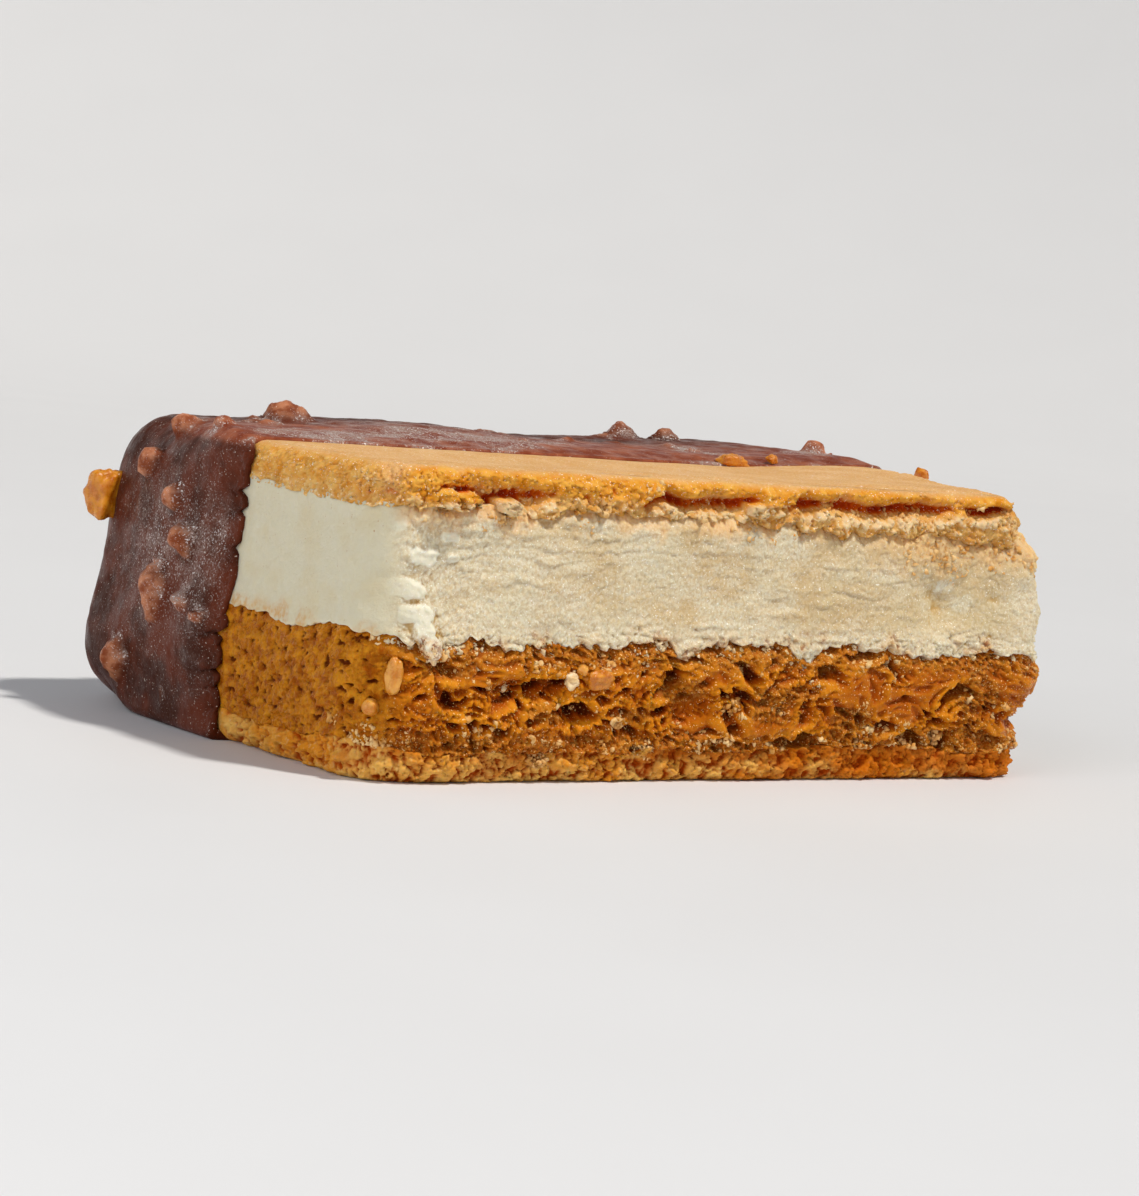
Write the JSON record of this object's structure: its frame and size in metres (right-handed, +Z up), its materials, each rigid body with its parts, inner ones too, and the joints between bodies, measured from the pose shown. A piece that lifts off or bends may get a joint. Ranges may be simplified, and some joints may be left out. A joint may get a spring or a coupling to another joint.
{
  "type": "ice cream sandwich",
  "caption": "Rectangular ice cream sandwich with caramel and vanilla layers between thin biscuits, back half dipped in chocolate with chopped nuts.",
  "frame": {"origin": "centre of the sandwich's length and depth, on the surface it rests on", "axes": "+X along the long side, -Y out of the bare long side, +Y towards the chocolate-dipped half, +Z up through the layers"},
  "size_m": [0.0956, 0.0686, 0.0365],
  "materials": {
    "bottom_biscuit": "matt baked crumb, brown gold with paler grains",
    "caramel_ice_cream": "moist frozen caramel, torn ridges with wet glints",
    "vanilla_ice_cream": "matt frozen cream, fine icy grain",
    "top_biscuit": "matt golden crust over a paler crumb",
    "chocolate": "satin milk chocolate with a grey frost bloom and nut lumps"
  },
  "bodies": {
    "root": {"bottom_biscuit": "bottom_biscuit", "caramel_ice_cream": "caramel_ice_cream", "vanilla_ice_cream": "vanilla_ice_cream", "top_biscuit": "top_biscuit", "chocolate_coating": "chocolate"}
  },
  "joints": []
}
